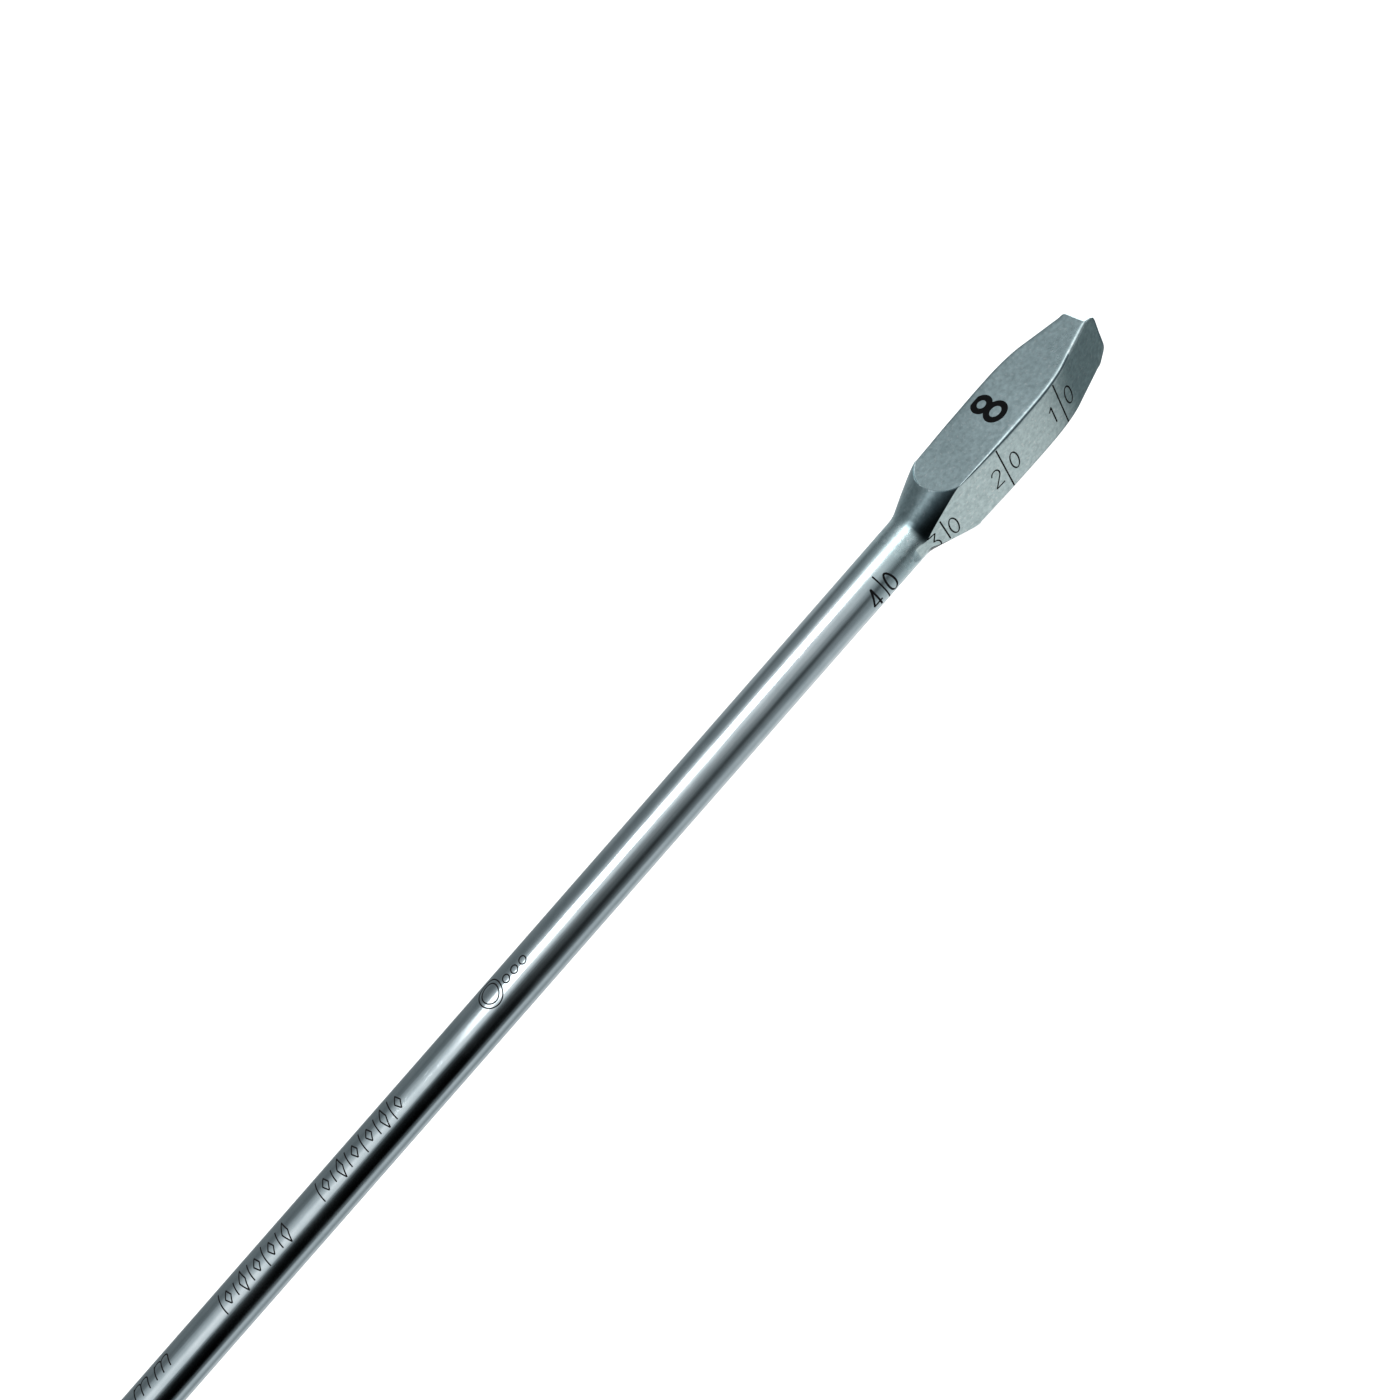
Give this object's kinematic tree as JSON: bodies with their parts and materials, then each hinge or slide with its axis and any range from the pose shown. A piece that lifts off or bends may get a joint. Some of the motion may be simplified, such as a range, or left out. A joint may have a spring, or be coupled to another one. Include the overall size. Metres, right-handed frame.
{
  "type": "paddle distractor",
  "caption": "Slim steel shaft with a tapered, flat-sided paddle head and depth scale, held in a T-handle by a sprung quick-release collar; spreads and gauges a narrow gap.",
  "frame": {"origin": "centre of the blunt nose face, on the axis of the shaft", "axes": "+X along the shaft from the nose to the strike cap; +Y out of the side face that carries the depth scale, along the handle's crossbar; +Z out of the upper size face"},
  "size_m": [0.2863, 0.1142, 0.0274],
  "materials": {
    "blasted_steel": "fine bead-blasted stainless steel, satin, with polished edges",
    "shaft_steel": "turned and lapped stainless steel, smooth satin with fine lengthwise grain",
    "handle_steel": "turned stainless steel, satin",
    "hardened_steel": "hardened and polished stainless steel",
    "spring_steel": "drawn spring steel",
    "silicone": "matt black moulded silicone"
  },
  "bodies": {
    "tool": {"distractor_head": "blasted_steel", "shaft": "shaft_steel", "drive_shank": "hardened_steel", "coupling_body": "handle_steel", "collar_stop_ring": "spring_steel", "collar_spring": "spring_steel", "spring_washer": "spring_steel", "handle_hub": "handle_steel", "body_pin": "hardened_steel", "crossbar": "hardened_steel", "crossbar_pin": "hardened_steel", "grip_left": "silicone", "grip_right": "silicone", "end_cap_left": "handle_steel", "end_cap_right": "handle_steel", "end_screw_left": "hardened_steel", "end_screw_right": "hardened_steel", "strike_cap": "hardened_steel", "cap_grub_screw": "hardened_steel"},
    "collar": {"release_collar": "handle_steel"},
    "top_ball": {"lock_ball_top": "hardened_steel"},
    "bottom_ball": {"lock_ball_bottom": "hardened_steel"}
  },
  "joints": [
    {"name": "collar_slide", "type": "slide", "parent": "tool", "child": "collar", "axis": [1, 0, 0], "range_m": [0, 0.005], "stiffness_N_per_m": 900, "springref_m": -0.005, "deforming": ["collar_spring"]},
    {"name": "top_ball_slide", "type": "slide", "parent": "tool", "child": "top_ball", "axis": [0, 0, 1], "range_m": [0, 0.00095]},
    {"name": "bottom_ball_slide", "type": "slide", "parent": "tool", "child": "bottom_ball", "axis": [0, 0, -1], "range_m": [0, 0.00095]}
  ],
  "couplings": [
    {"joint": "top_ball_slide", "follows": "collar_slide", "ratio": 0.18},
    {"joint": "bottom_ball_slide", "follows": "collar_slide", "ratio": 0.18}
  ]
}
